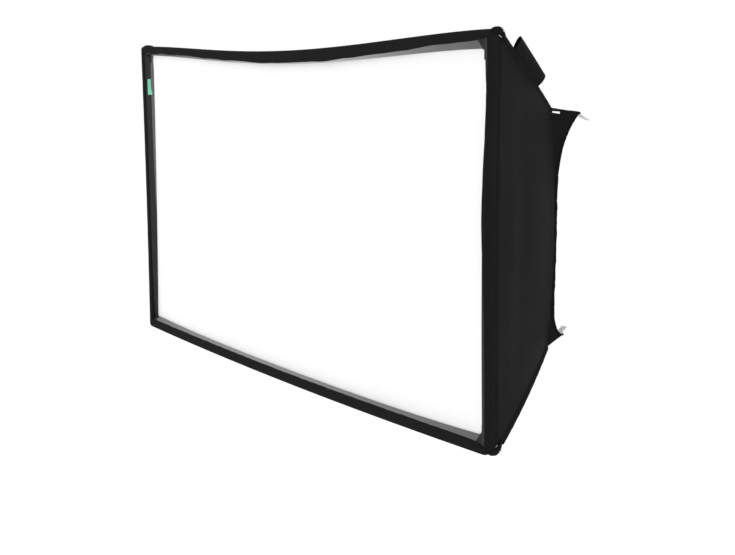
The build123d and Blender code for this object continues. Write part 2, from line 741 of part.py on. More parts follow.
fold_rest = degrees(atan2(-SLEEVE_END - PIVOT_Y, TAPER_L))
print(f"{len(NODES)} nodes; ridge rods stand about {fold_rest:.1f} degrees out of the front plane")
for key in ((1, 1), (1, -1)):
    spot = ridge_point(*key, PIVOT_Y)
    print("ridge pivot", key, [round(value, 3) for value in tuple(spot)])
print("fold axis y", HINGE_Y)
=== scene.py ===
import math

import bpy
import numpy as np
from mathutils import Matrix, Vector


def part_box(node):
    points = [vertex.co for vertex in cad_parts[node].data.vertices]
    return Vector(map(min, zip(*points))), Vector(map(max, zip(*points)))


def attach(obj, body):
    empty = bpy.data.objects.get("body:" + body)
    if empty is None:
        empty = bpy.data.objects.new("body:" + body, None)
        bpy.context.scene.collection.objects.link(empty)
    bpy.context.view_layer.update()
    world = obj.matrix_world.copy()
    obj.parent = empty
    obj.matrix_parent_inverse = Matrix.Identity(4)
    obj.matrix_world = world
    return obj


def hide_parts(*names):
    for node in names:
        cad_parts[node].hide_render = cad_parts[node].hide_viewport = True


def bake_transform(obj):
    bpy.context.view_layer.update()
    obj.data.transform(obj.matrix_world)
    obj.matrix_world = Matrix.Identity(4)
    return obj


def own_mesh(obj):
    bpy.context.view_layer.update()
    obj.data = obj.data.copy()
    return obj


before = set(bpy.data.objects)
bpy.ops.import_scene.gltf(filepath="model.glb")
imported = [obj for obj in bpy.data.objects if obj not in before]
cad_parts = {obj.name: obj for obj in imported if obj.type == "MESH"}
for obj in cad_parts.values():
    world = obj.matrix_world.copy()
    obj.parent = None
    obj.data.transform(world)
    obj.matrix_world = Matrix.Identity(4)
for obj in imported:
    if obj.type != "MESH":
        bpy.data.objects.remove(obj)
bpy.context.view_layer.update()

# ---------------------------------------------------------------- sizes from the frame, in metres
rim_low, rim_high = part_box("rim_side_right")
_, collar_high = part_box("rear_collar_right")
FRONT = rim_low[1]                  # y of the front plane
RIM_BACK = rim_high[1]              # y of the back of the rod sleeve
HALF_W = rim_high[0]
HALF_H = 0.35                       # half the height between the outer edges
REAR_HALF_W = collar_high[0]
REAR_HALF_H = 0.22                  # and at the rear seam
COLLAR_END = collar_high[1]
TAPER = HALF_W - REAR_HALF_W
DIFFUSER_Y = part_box("diffuser_left")[0][1]

# ---------------------------------------------------------------- cloth shapes
TOP_SAG, LOW_SAG, REAR_SAG = 0.0223, 0.0095, 0.002
TOP_SHARE = 1.8                     # how closely the top sag keeps to the middle
LOW_DROP = 0.0022                   # lower edge of the cloth below the rods
SIDE_BOW = 0.004                    # the upright edges pulled in by the cloth
TOP_BULGE, LOW_BULGE = 0.001, 0.004
CORNER_R, INNER_R = 0.010, 0.009    # corner radius outside, and inside the sleeve
RIM_W = 0.0205                      # width of the sleeve behind its front band
# Insets of the loop tape's inner edge, and how much they change along the edge.
TOP_TAPE, TOP_SPREAD = 0.0262, 0.0045
LOW_TAPE, LOW_SPREAD = 0.0248, 0.004
LEFT_TAPE, LEFT_SPREAD = 0.0320, 0.010
RIGHT_TAPE, RIGHT_DIP = 0.0300, 0.0115
RIDGE_INSET = 0.005                 # rod line inside the ridge, across the corner
TUCK = 0.006                        # body cloth sewn inside the back of the sleeve
TUCK_IN = 0.0022                    # and drawn in there
SEAM_BACK = 0.016                   # rear seam of a side panel, bowed backwards

LONG, ARC, SIDE = 168, 7, 84        # steps along a long edge, round a corner, up a side
COUNTS = np.array([LONG, ARC, SIDE, ARC, LONG, ARC, SIDE, ARC])
BREAKS = np.concatenate([[0], np.cumsum(COUNTS)])
AROUND = int(BREAKS[-1])
LONG_PARTS, SIDE_PARTS = (0, 4), (2, 6)         # the straight stretches among the eight
HALF_LONG = LONG // 2
DIAGONAL = math.sqrt(0.5)
SIDES = (("left", -1), ("right", 1))


# ================================================================ shader wiring
class Wire:
    """A node socket that sums can be written with; each operator adds a Math node."""

    def __init__(self, finish, socket):
        self.finish = finish
        self.socket = socket

    def _sum(self, operation, *values):
        return self.finish.node("ShaderNodeMath", {"operation": operation}, *values)

    def __add__(self, other): return self._sum("ADD", self, other)
    def __radd__(self, other): return self._sum("ADD", other, self)
    def __sub__(self, other): return self._sum("SUBTRACT", self, other)
    def __rsub__(self, other): return self._sum("SUBTRACT", other, self)
    def __mul__(self, other): return self._sum("MULTIPLY", self, other)
    def __truediv__(self, other): return self._sum("DIVIDE", self, other)
    def __abs__(self): return self._sum("ABSOLUTE", self)
    def sine(self): return self._sum("SINE", self)
    def above(self, other): return self._sum("GREATER_THAN", self, other)

    def hump(self, centre, width):
        """Smooth rise to 1 where the value is at centre."""
        away = (self - centre) / width
        return self._sum("EXPONENT", away * away * -1.0)


class Finish:
    """One material, built node by node round its Principled shader."""

    def __init__(self, name, **constants):
        self.material = bpy.data.materials.new(name)
        self.material.use_nodes = True
        self.tree = self.material.node_tree
        self.shader = self.tree.nodes["Principled BSDF"]
        for socket, value in constants.items():
            self.shader.inputs[socket.replace("_", " ")].default_value = value

    def node(self, kind, settings=None, *values, out=0, **named):
        """Add a node: its settings first, then values or wires for its sockets."""
        node = self.tree.nodes.new(kind)
        for key, value in (settings or {}).items():
            setattr(node, key, value)
        for key, value in list(enumerate(values)) + list(named.items()):
            slot = node.inputs[key.replace("_", " ") if isinstance(key, str) else key]
            if isinstance(value, Wire):
                self.tree.links.new(value.socket, slot)
            else:
                slot.default_value = value
        return Wire(self, node.outputs[out])

    def place(self, kind="Object"):
        wire = self.node("ShaderNodeTexCoord")
        wire.socket = wire.socket.node.outputs[kind]
        return wire

    def axes(self, vector):
        split = self.node("ShaderNodeSeparateXYZ", None, vector)
        return [Wire(self, split.socket.node.outputs[index]) for index in range(3)]

    def noise(self, scale, detail=3.0, where=None, rough=0.55):
        return self.node("ShaderNodeTexNoise", None, where or self.place(),
                         Scale=scale, Detail=detail, Roughness=rough)

    def weave(self, pitch):
        """Plain weave in the piece's own UV, one thread every pitch metres."""
        across, along, _ = self.axes(self.place("UV"))
        turn = 2 * math.pi / pitch
        return (across * turn).sine() * (along * turn).sine() * 0.5 + 0.5

    def mix(self, factor, first, second):
        node = self.tree.nodes.new("ShaderNodeMix")
        node.data_type = "RGBA"
        for index, value in ((0, factor), (6, first), (7, second)):
            if isinstance(value, Wire):
                self.tree.links.new(value.socket, node.inputs[index])
            else:
                node.inputs[index].default_value = value
        return Wire(self, node.outputs[2])

    def bump(self, height, distance, strength=1.0, under=None):
        wire = self.node("ShaderNodeBump", None, Height=height, Distance=distance,
                         Strength=strength)
        if under:
            self.tree.links.new(under.socket, wire.socket.node.inputs["Normal"])
        return wire

    def plug(self, socket, wire):
        self.tree.links.new(wire.socket, self.shader.inputs[socket])


def grey(value):
    """Opaque grey, a touch cool."""
    return (value, value, value * 1.02, 1.0)


def woven_cloth(name, dark, light, pitch, roughness, cloud=9.0, depth=0.00012):
    """Plain weave in the piece's own UV, in metres, with slow variation of tone."""
    finish = Finish(name, Roughness=roughness, Specular_IOR_Level=0.05)
    weave = finish.weave(pitch)
    slow = finish.noise(cloud, 4.0)
    fine = finish.noise(900.0, 2.0)
    tone = slow * 0.65 + weave * 0.2 + fine * 0.15
    finish.plug("Base Color", finish.mix(tone, dark, light))
    finish.plug("Roughness", slow * 0.16 + (roughness - 0.08))
    creases = finish.noise(38.0, 4.0, rough=0.6)
    soft = finish.bump(creases, 0.0012, 0.35)
    finish.plug("Normal", finish.bump(weave * 0.8 + fine * 0.4, depth, 0.6, soft))
    return finish.material


SHADED_SIDE_BAND = 0.034                   # strip along the sides where the tape gets painted shade


def loop_pile():
    """Brushed loop tape: short tangled pile, with painted light making it pale in the middle of
    the long edges, brightest on the top one, and painted shade keeping it dark along the sides.
    """
    finish = Finish("loop_tape", Roughness=0.95, Specular_IOR_Level=0.05)
    where = finish.place()
    x, _, z = finish.axes(where)
    cells = finish.node("ShaderNodeTexVoronoi", {"feature": "F1"}, where, Scale=1300.0)
    tufts = finish.noise(700.0, 4.0, rough=0.7)
    patches = finish.noise(26.0, 3.0)
    pile = tufts * 0.5 + patches * 0.5 + cells * 0.3
    upper = z.above(0.0)
    # painted light: the top tape brightest in its middle, the bottom one a little paler left of
    # its middle
    painted_light = upper * x.hump(0.03, 0.36) * 0.95 + (1 - upper) * x.hump(-0.16, 0.62) * 0.32
    # painted shade: the tape along the sides is kept dark
    side = abs(x).above(HALF_W - SHADED_SIDE_BAND)
    tone = (painted_light + 0.16 + pile * 0.14) * (1 - side) + side * (0.02 + pile * 0.05)
    finish.plug("Base Color", finish.mix(tone, grey(0.012), grey(0.46)))
    finish.plug("Normal", finish.bump(cells * 0.6 + tufts, 0.0006, 0.8))
    return finish.material


def diffusion_cloth():
    """Bright white cloth with a faint painted glow, a barely visible fine weave and faint ironed
    folds.
    """
    # painted glow: a faint emission brightens the sheet, though it is no lamp
    finish = Finish("diffuser_cloth", Roughness=0.8, Specular_IOR_Level=0.2,
                    Emission_Strength=0.045)
    finish.shader.inputs["Emission Color"].default_value = (1, 1, 1, 1)
    weave = finish.weave(0.0007)
    slow = finish.noise(5.0, 3.0)
    tone = slow * 0.7 + weave * 0.3
    finish.plug("Base Color", finish.mix(tone, (0.87, 0.873, 0.88, 1), (0.915, 0.915, 0.92, 1)))
    finish.plug("Roughness", slow * 0.1 + 0.74)
    finish.plug("Normal", finish.bump(weave, 0.00008, 0.35))
    return finish.material


def silver_cloth():
    """Metallised cloth: crinkled, bright and only half sharp."""
    finish = Finish("silver_lining", Metallic=0.85, Roughness=0.36)
    crinkle = finish.node("ShaderNodeTexVoronoi", {"feature": "SMOOTH_F1"}, finish.place(),
                          Scale=85.0, Smoothness=0.7)
    fine = finish.noise(420.0, 3.0)
    slow = finish.noise(7.0, 3.0)
    finish.plug("Base Color", finish.mix(slow * 0.7 + fine * 0.3, (0.52, 0.53, 0.55, 1),
                                         (0.74, 0.745, 0.76, 1)))
    finish.plug("Roughness", slow * 0.2 + fine * 0.12 + 0.2)
    finish.plug("Normal", finish.bump(crinkle + fine * 0.35, 0.0012, 0.55))
    return finish.material


def webbing(name, dark, light, specular=0.3):
    """Narrow woven tape with slanted ribs across it."""
    finish = Finish(name, Roughness=0.75, Specular_IOR_Level=specular)
    across, along, _ = finish.axes(finish.place("UV"))
    rib = ((across * 1.0 + along * 0.8) * (2 * math.pi / 0.0016)).sine() * 0.5 + 0.5
    soil = finish.noise(60.0, 4.0)
    finish.plug("Base Color", finish.mix(soil * 0.6 + rib * 0.4, dark, light))
    finish.plug("Normal", finish.bump(rib, 0.0003, 0.7))
    return finish.material


def moulded(name, dark, light, roughness=0.5, grain=650.0):
    """Moulded plastic with a fine grain, duller in patches."""
    finish = Finish(name, Specular_IOR_Level=0.25)
    fine = finish.noise(grain, 3.0)
    wear = finish.noise(45.0, 4.0)
    finish.plug("Base Color", finish.mix(wear, dark, light))
    finish.plug("Roughness", wear * 0.25 + (roughness - 0.12))
    finish.plug("Normal", finish.bump(fine, 0.00015, 0.5))
    return finish.material


def brushed(name, dark, light, metallic, roughness, stretch=(1, 1, 12)):
    """Drawn rod or turned pin: streaks along the piece."""
    finish = Finish(name, Metallic=metallic)
    spot = finish.node("ShaderNodeMapping", None, finish.place(), Scale=stretch)
    streak = finish.noise(260.0, 3.0, spot)
    wear = finish.noise(30.0, 3.0)
    finish.plug("Base Color", finish.mix(streak * 0.5 + wear * 0.5, dark, light))
    finish.plug("Roughness", streak * 0.2 + wear * 0.15 + (roughness - 0.16))
    finish.plug("Normal", finish.bump(streak, 0.00008, 0.5))
    return finish.material


BLACK_CLOTH = woven_cloth("black_cloth", grey(0.0035), grey(0.0085), 0.0009, 0.72)
RIM_CLOTH = woven_cloth("rim_cloth", grey(0.0045), grey(0.0125), 0.0011, 0.78, 14.0)
SLEEVE_CLOTH = woven_cloth("sleeve_cloth", grey(0.004), grey(0.0105), 0.0009, 0.74, 20.0)
ELASTIC = woven_cloth("elastic", grey(0.003), grey(0.009), 0.0022, 0.8, 30.0, 0.0004)
LOOP_TAPE = loop_pile()
DIFFUSER = diffusion_cloth()
SILVER = silver_cloth()
WHITE_WEBBING = webbing("white_webbing", (0.62, 0.62, 0.6, 1), (0.86, 0.86, 0.84, 1))
LABEL_TAPE = webbing("label_tape", grey(0.0045), grey(0.013), 0.08)
GREEN_TAPE = webbing("green_tape", (0.16, 0.55, 0.36, 1), (0.3, 0.76, 0.55, 1))
FRAME_ROD = brushed("frame_rod", grey(0.02), grey(0.045), 0.0, 0.42, (12, 1, 1))
PALE_ROD = brushed("pale_rod", (0.6, 0.6, 0.57, 1), (0.82, 0.82, 0.79, 1), 0.0, 0.4, (4, 4, 4))
PLASTIC = moulded("moulded_plastic", grey(0.008), grey(0.02))
HINGE_METAL = moulded("hinge_metal", grey(0.015), grey(0.035), 0.42, 900.0)
STEEL = brushed("pin_steel", (0.42, 0.42, 0.44, 1), (0.66, 0.66, 0.68, 1), 1.0, 0.34)


# ================================================================ mesh helpers
def deselect():
    bpy.ops.object.select_all(action="DESELECT")


def only(obj):
    """Make one object the selected and active one."""
    deselect()
    obj.select_set(True)
    bpy.context.view_layer.objects.active = obj


def points_of(obj):
    spots = np.empty(len(obj.data.vertices) * 3)
    obj.data.vertices.foreach_get("co", spots)
    return spots.reshape(-1, 3)


def move_points(obj, spots):
    obj.data.vertices.foreach_set("co", np.ascontiguousarray(spots, dtype=float).ravel())
    obj.data.update()


def modifier(obj, kind, **settings):
    """Add a modifier and apply it."""
    only(obj)
    mod = obj.modifiers.new(kind.lower(), kind)
    for key, value in settings.items():
        setattr(mod, key, value)
    bpy.ops.object.modifier_apply(modifier=mod.name)


def edit(obj, *steps):
    """Run edit-mode operators on the whole of one mesh."""
    only(obj)
    bpy.ops.object.mode_set(mode="EDIT")
    bpy.ops.mesh.select_all(action="SELECT")
    for step, settings in steps:
        getattr(bpy.ops.mesh, step)(**settings)
    bpy.ops.object.mode_set(mode="OBJECT")


def cut_faces(obj, chosen):
    """Delete the faces whose centres chosen(x, y, z) picks."""
    centres = np.empty(len(obj.data.polygons) * 3)
    obj.data.polygons.foreach_get("center", centres)
    picked = chosen(*centres.reshape(-1, 3).T)
    only(obj)
    bpy.ops.object.mode_set(mode="EDIT")
    bpy.ops.mesh.select_mode(type="FACE")
    bpy.ops.mesh.select_all(action="DESELECT")
    bpy.ops.object.mode_set(mode="OBJECT")
    obj.data.polygons.foreach_set("select", picked)
    bpy.ops.object.mode_set(mode="EDIT")
    bpy.ops.mesh.delete(type="FACE")
    bpy.ops.mesh.select_mode(type="VERT")
    bpy.ops.object.mode_set(mode="OBJECT")


def cloth(name, place, across, along, material, flat=(1.0, 1.0), closed=False, thick=0.0,
          smooth=0, inward=False, opening=None):
    """A grid of cloth laid by place(u, v), with its UV in metres of cloth."""
    deselect()
    bpy.ops.mesh.primitive_grid_add(x_subdivisions=across, y_subdivisions=along, size=2)
    obj = bpy.context.object
    obj.name = name
    obj.data.name = name
    grid = points_of(obj)
    u = (grid[:, 0] + 1) / 2
    v = (grid[:, 1] + 1) / 2
    move_points(obj, np.stack(place(u, v), axis=1))
    layer = obj.data.uv_layers[0].data
    uv = np.empty(len(layer) * 2)
    layer.foreach_get("uv", uv)
    layer.foreach_set("uv", (uv.reshape(-1, 2) * np.array(flat)).ravel())
    if closed:
        edit(obj, ("remove_doubles", {"threshold": 1e-6}))
    if inward:
        edit(obj, ("flip_normals", {}))
    if opening:
        cut_faces(obj, opening)
    if thick:
        modifier(obj, "SOLIDIFY", thickness=thick, offset=-1.0, use_even_offset=False)
    if smooth:
        modifier(obj, "SUBSURF", levels=smooth, render_levels=smooth)
    only(obj)
    bpy.ops.object.shade_smooth_by_angle(angle=math.radians(50))
    obj.data.materials.clear()
    obj.data.materials.append(material)
    return obj


def joined(name, *objs):
    """Join pieces into the first of them and name it."""
    deselect()
    for obj in objs:
        obj.select_set(True)
    bpy.context.view_layer.objects.active = objs[0]
    bpy.ops.object.join()
    whole = bpy.context.object
    whole.name = name
    whole.data.name = name
    return whole


def wave(u, turns, seed):
    """Smooth unevenness along one direction: three sines that don't repeat together."""
    shift = 1.7 * seed
    return (np.sin(2 * math.pi * turns * u + shift)
            + 0.6 * np.sin(2 * math.pi * turns * 1.83 * u + 2.3 * shift + 1)
            + 0.4 * np.sin(2 * math.pi * turns * 2.71 * u + 3.1 * shift + 2)) / 2


def bump_at(value, centre, width):
    """Smooth rise to 1 where value is at centre."""
    return np.exp(-((value - centre) / width) ** 2)


def ease(value):
    """0 to 1 with no kink at either end."""
    value = np.clip(value, 0, 1)
    return value * value * (3 - 2 * value)


# ================================================================ outlines of the cloth
def sag_share(x, half_w, share=1.0):
    """0 at the corners to 1 in the middle of a long edge."""
    return np.clip(1 - (x / half_w) ** 2, 0, 1) ** share


def ring(u, top, low, top_sag, low_sag, radius, bow=0.0):
    """Points round the frame, clockwise from the top left as seen from the front.
    top and low are the right-hand corners; the long edges sag and the sides bow in."""
    (top_x, top_z), (low_x, low_z) = top, low
    step = np.clip(u * AROUND, 0, AROUND - 1e-9)
    part = np.clip(np.searchsorted(BREAKS, step + 1e-6, side="right") - 1, 0, 7)
    t = (u * AROUND - BREAKS[part]) / COUNTS[part]
    quarter = math.pi / 2
    turn = np.choose(part, [t * 0, quarter * (1 - t), t * 0, -quarter * t,
                            t * 0, -quarter * (1 + t), t * 0, math.pi - quarter * t])
    up = part % 7 <= 1
    corner_x = np.where(up, top_x, low_x) * np.where((part >= 5), -1, 1)
    corner_z = np.where(up, top_z, low_z)
    arc_x = corner_x - np.sign(corner_x) * radius + radius * np.cos(turn)
    arc_z = corner_z - np.sign(corner_z) * radius + radius * np.sin(turn)
    mix = lambda a, b: a + (b - a) * t
    x = np.choose(part, [mix(-top_x + radius, top_x - radius), arc_x, mix(top_x, low_x), arc_x,
                         mix(low_x - radius, -low_x + radius), arc_x, mix(-low_x, -top_x), arc_x])
    z = np.choose(part, [top_z + 0 * t, arc_z, mix(top_z - radius, low_z + radius), arc_z,
                         low_z + 0 * t, arc_z, mix(low_z + radius, top_z - radius), arc_z])
    high = np.clip(z / top_z, 0, 1) ** 6 * sag_share(x, top_x, TOP_SHARE)
    deep = np.clip(z / low_z, 0, 1) ** 6 * sag_share(x, low_x)
    upright = np.clip(1 - (z / top_z) ** 2, 0, 1) * (np.abs(x) / top_x) ** 8
    return (x - np.sign(x) * bow * upright,
            z - top_sag * high - low_sag * deep)


def corner_at(back, level, inset=0.0):
    """Right-hand corner of the tapered body; back runs 0 at the rim to 1 at the rear seam."""
    bulge = TOP_BULGE if level > 0 else LOW_BULGE
    swell = bulge * 4 * back * (1 - back)
    drop = LOW_DROP * (1 - back) * (level < 0)
    return (HALF_W - TAPER * back + swell - inset,
            level * (HALF_H - (HALF_H - REAR_HALF_H) * back + swell + drop - inset))


def front_ring(u, inset):
    """Outline of the front, drawn in by inset."""
    radius = np.where(inset < RIM_W, np.maximum(CORNER_R - inset, 0.004), INNER_R)
    return ring(u, (HALF_W - inset, HALF_H - inset), (HALF_W - inset, -HALF_H - LOW_DROP + inset),
                TOP_SAG, LOW_SAG, radius, SIDE_BOW)


# ================================================================ front rim
# One turn of the sleeve's section: inset from the outer edge as a share, depth as a share.
SECTION = [(0.0, 0.93), (0.0, 0.55), (0.0, 0.2), (0.03, 0.03), (0.3, 0.0), (0.72, 0.0),
           (0.97, 0.03), (1.0, 0.2), (1.0, 0.6), (1.0, 0.95), (0.8, 1.0), (0.2, 1.0)]


def edge_share(u, part, blend=8):
    """1 on one of the four long stretches round the front, eased to 0 past its corners."""
    start, end = BREAKS[part] - ARC / 2, BREAKS[part + 1] + ARC / 2
    step = u * AROUND
    middle = (start + end) / 2
    step = step - AROUND * np.round((step - middle) / AROUND)
    return ease((step - start + blend) / (2 * blend)) - ease((step - end + blend) / (2 * blend))


def around_front(u, top, low, left, right, blend=8):
    """One value round the front from its values on the four edges."""
    return (top * edge_share(u, 0, blend) + right * edge_share(u, 2, blend)
            + low * edge_share(u, 4, blend) + left * edge_share(u, 6, blend))


def band_width(u):
    """Width of the black front band: fullest in the middle of the top, narrow at the right."""
    x, z = front_ring(u, 0 * u)
    puckers = 0.0013 * wave(u, 17, 3) * edge_share(u, 0) + 0.0004 * wave(u, 40, 1)
    return puckers + around_front(u, 0.0130 + 0.0125 * bump_at(x, 0.13, 0.55), 0.0205 + 0 * x,
                                  0.0190 + 0 * x, 0.0045 + 0.0105 * bump_at(z, 0.05, 0.13))


def top_inset(x):
    return TOP_TAPE + TOP_SPREAD * x / HALF_W


def low_inset(x):
    return LOW_TAPE + LOW_SPREAD * (x / HALF_W) ** 4


def left_inset(z):
    return LEFT_TAPE + LEFT_SPREAD * z / HALF_H


def right_inset(z):
    return RIGHT_TAPE - RIGHT_DIP * bump_at(z, 0.19, 0.11)


def tape_inset(u):
    """Inset of the loop tape's inner edge, where the diffuser starts."""
    x, z = front_ring(u, 0 * u)
    return around_front(u, top_inset(x), low_inset(x), left_inset(z), right_inset(z), 4)


def place_rim(u, v):
    share = np.array(SECTION + SECTION[:1])
    spot = v * len(SECTION)
    index = np.clip(np.round(spot).astype(int), 0, len(SECTION))
    width = np.where(share[index, 1] > 0.4, RIM_W, band_width(u))
    inset = share[index, 0] * width - 0.0006 * (share[index, 0] == 0)
    x, z = front_ring(u, inset)
    face = bump_at(share[index, 1], 0.0, 0.12) * bump_at(share[index, 0], 0.5, 0.4)
    y = FRONT + share[index, 1] * (RIM_BACK - FRONT) + 0.0006 * face * (1 - wave(u, 60, 2))
    return x, np.maximum(y, FRONT), z


rim = cloth("rim_sleeve", place_rim, AROUND, len(SECTION), RIM_CLOTH, (4.2, 0.1),
            closed=True, smooth=1)

# ---------------------------------------------------------------- slanted loop tape
TAPE_FRONT = FRONT + 0.0022


def place_tape(u, v):
    start = band_width(u) - 0.0014
    pleats = 0.0006 * wave(u, 120, 5) + 0.0011 * wave(u, 34, 6) * edge_share(u, 0)
    belly = np.sin(math.pi * v)
    inset = start + (tape_inset(u) - start) * v + belly * (pleats - 0.0006)
    x, z = front_ring(u, inset)
    y = TAPE_FRONT + (DIFFUSER_Y - 0.0006 - TAPE_FRONT) * v + belly * pleats * 0.6
    return x, y, z


tape = cloth("loop_tape", place_tape, AROUND, 8, LOOP_TAPE, (4.1, 0.02), closed=True, thick=0.0009,
             inward=True)
modifier(tape, "SUBSURF", levels=1, render_levels=1)

# ---------------------------------------------------------------- diffuser
UNDER = 0.0015                      # how far the sheet runs under the tape


def place_diffuser(u, v):
    height = HALF_H * (2 * v - 1)
    bow = SIDE_BOW * (1 - (2 * v - 1) ** 2)
    left = -HALF_W + bow + left_inset(height) - UNDER
    right = HALF_W - bow - right_inset(height) + UNDER
    x = left + (right - left) * u
    top = HALF_H - top_inset(x) - TOP_SAG * sag_share(x, HALF_W, TOP_SHARE) + UNDER
    low = (-HALF_H - LOW_DROP + low_inset(x) - LOW_SAG * sag_share(x, HALF_W)
           - UNDER)
    z = low + (top - low) * v
    edge = (1 - np.abs(2 * u - 1) ** 14) * (1 - np.abs(2 * v - 1) ** 10)
    folds = (0.0013 * wave(u + 0.03 * v, 11, 4) * (1 - v) * (0.25 + u)
             + 0.0005 * wave(u + 0.12 * v, 16, 7))
    corner = 0.0028 * wave(u * 1.4 + v, 9, 8) * bump_at(u, 0.0, 0.07) * bump_at(v, 1.0, 0.16)
    pucker = (0.0010 * wave(u, 36, 8) * bump_at(v, 1.0, 0.10)
              + 0.0010 * wave(v, 14, 9) * bump_at(u, 0.0, 0.03))
    crease = -0.0010 * bump_at(x, 0.0, 0.004)
    y = DIFFUSER_Y + 0.0009 + edge * (np.minimum(folds + corner + pucker, 0.0012) + crease)
    return x, y, z


diffuser = cloth("diffuser_sheet", place_diffuser, 168, 84, DIFFUSER, (1.34, 0.65), thick=0.0008)


# ================================================================ tapered cloth body
def body_point(u, back, inset):
    """Point of the black cloth body, with its swell, seam bow and soft folds."""
    top = corner_at(back, 1, inset)
    low = corner_at(back, -1, inset)
    x, z = ring(u, top, low, TOP_SAG + (REAR_SAG - TOP_SAG) * back,
                LOW_SAG + (REAR_SAG - LOW_SAG) * back,
                np.maximum(CORNER_R - 0.006 * back - inset, 0.003), SIDE_BOW * (1 - back))
    tuck = back < 0.001                 # the front row goes up inside the sleeve
    y = RIM_BACK * (1 - back) - TUCK * tuck
    upright = np.clip(1 - (z / low[1]) ** 2, 0, 1) * (np.abs(x) > REAR_HALF_W - 0.02)
    upright = upright * np.isin(part_of(u), SIDE_PARTS)
    flat = np.clip(1 - (x / top[0]) ** 2, 0, 1) * np.isin(part_of(u), LONG_PARTS)
    y = y + SEAM_BACK * upright * back ** 2 + 0.004 * flat * back ** 2
    soft = back * (1 - back) * 4
    fold_side = 0.0022 * wave(u, 13, 11) * soft + 0.0035 * bump_at(z, 0.02, 0.11) * soft
    x = x - np.sign(x) * TUCK_IN * tuck
    z = z - np.sign(z) * TUCK_IN * tuck
    x = x + np.sign(x) * upright * (fold_side + 0.002 * wave(back, 1.3, 12) * soft)
    fold_long = (0.0025 * wave(u, 11, 13) - 0.004) * soft
    z = z + np.sign(z) * flat * fold_long
    return x, y, z


def part_of(u):
    """Which of the eight stretches round the frame u is on."""
    step = np.clip(u * AROUND, 0, AROUND - 1e-9)
    return np.clip(np.searchsorted(BREAKS, step + 1e-6, side="right") - 1, 0, 7)


def stretch_of(first, last):
    """The way round the frame between two step counts, as a function of u."""
    def turn(u):
        around = (first + (last - first) * u) / AROUND
        return np.where(around >= 1, around - 1, around)
    return turn


STRETCHES = {
    "top_panel_right": (HALF_LONG, LONG + ARC / 2),
    "side_panel_right": (LONG + ARC / 2, LONG + ARC * 1.5 + SIDE),
    "bottom_panel_right": (LONG + ARC * 1.5 + SIDE, BREAKS[4] + HALF_LONG),
    "bottom_panel_left": (BREAKS[4] + HALF_LONG, BREAKS[5] + ARC / 2),
    "side_panel_left": (BREAKS[5] + ARC / 2, BREAKS[7] + ARC / 2),
    "top_panel_left": (BREAKS[7] + ARC / 2, AROUND + HALF_LONG),
}


CLOTH_THICK, LINING_THICK, LINING_GAP = 0.0012, 0.0005, 0.0017
STEP_LENGTH = 0.0083                # metres of cloth to a step along an edge


def panel(name, inset, thick, material, suffix):
    """One panel of the body: black cloth, or the lining inside it."""
    first, last = STRETCHES[name]
    turn = stretch_of(first, last)
    steps = int(round(last - first))
    return cloth(name + suffix, lambda u, v: body_point(turn(u), v, inset), steps, 30, material,
                 (steps * STEP_LENGTH, 0.25), thick=thick)


pieces = {"front_left": [], "front_right": []}
for name in STRETCHES:
    side = name.rsplit("_", 1)[1]
    outer = panel(name, 0.0, CLOTH_THICK, BLACK_CLOTH, "_cloth")
    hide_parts(name)
    inner = panel(name, LINING_GAP, LINING_THICK, SILVER, "_silver")
    pieces["front_" + side] += [outer, inner]
for side in ("left", "right"):
    silver = next(p for p in pieces["front_" + side] if p.name == f"side_panel_{side}_silver")
    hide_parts(f"lining_{side}")

# ---------------------------------------------------------------- ridge sleeves
RIDGE_START, RIDGE_END = 0.10, 0.995
SLEEVE_R = 0.0056


def ridge_line(side, level, back):
    """Rod line inside a ridge."""
    x, z = corner_at(back, level)
    return (side * (x - RIDGE_INSET * DIAGONAL), RIM_BACK * (1 - back),
            z - level * RIDGE_INSET * DIAGONAL)


def ridge_axes(side, level, back):
    """Points on a ridge rod, with the unit vectors along it and flat across the corner."""
    base = np.stack(ridge_line(side, level, back), axis=1)
    along = np.stack(ridge_line(side, level, back + 0.01), axis=1) - base
    along /= np.linalg.norm(along, axis=1)[:, None]
    flank = np.cross(along, np.array([side * DIAGONAL, 0.0, level * DIAGONAL]))
    flank /= np.linalg.norm(flank, axis=1)[:, None]
    return base, along, flank


def ridge_sleeve(side, level, name):
    """Cloth tube over a ridge rod, with shallow gathers and a welted seam."""
    def place(u, v):
        back = RIDGE_START + (RIDGE_END - RIDGE_START) * v
        base, along, flank = ridge_axes(side, level, back)
        out = np.cross(flank, along)
        angle = 2 * math.pi * u
        size = SLEEVE_R * (1 + 0.035 * wave(v, 9, 14 + level) * np.cos(angle)
                           + 0.06 * bump_at(np.cos(angle), 1.0, 0.06))
        spot = (base + out * (np.cos(angle) * size)[:, None]
                + flank * (np.sin(angle) * size * 0.92)[:, None])
        return spot[:, 0], spot[:, 1], spot[:, 2]

    return cloth(name, place, 20, 60, SLEEVE_CLOTH, (0.042, 0.27), closed=True, thick=0.0011,
                 inward=(side * level < 0))


# Profile of the corner boots, front to back: depth, middle outside the sharp edge, radius.
BOOT_Y = (-0.2345, -0.2320, -0.2270, -0.2225, -0.2185,
          -0.2145, -0.2105, -0.2030, -0.1960, -0.1860)
BOOT_OUT = (-0.0046, -0.0040, -0.0030, -0.0026, -0.0026,
            -0.0018, 0.0000, -0.0018, -0.0038, -0.0050)
BOOT_R = (0.0015, 0.0040, 0.0061, 0.0063, 0.0064, 0.0070, 0.0078, 0.0074, 0.0068, 0.0062)
BOOT_SPAN = math.radians(152)


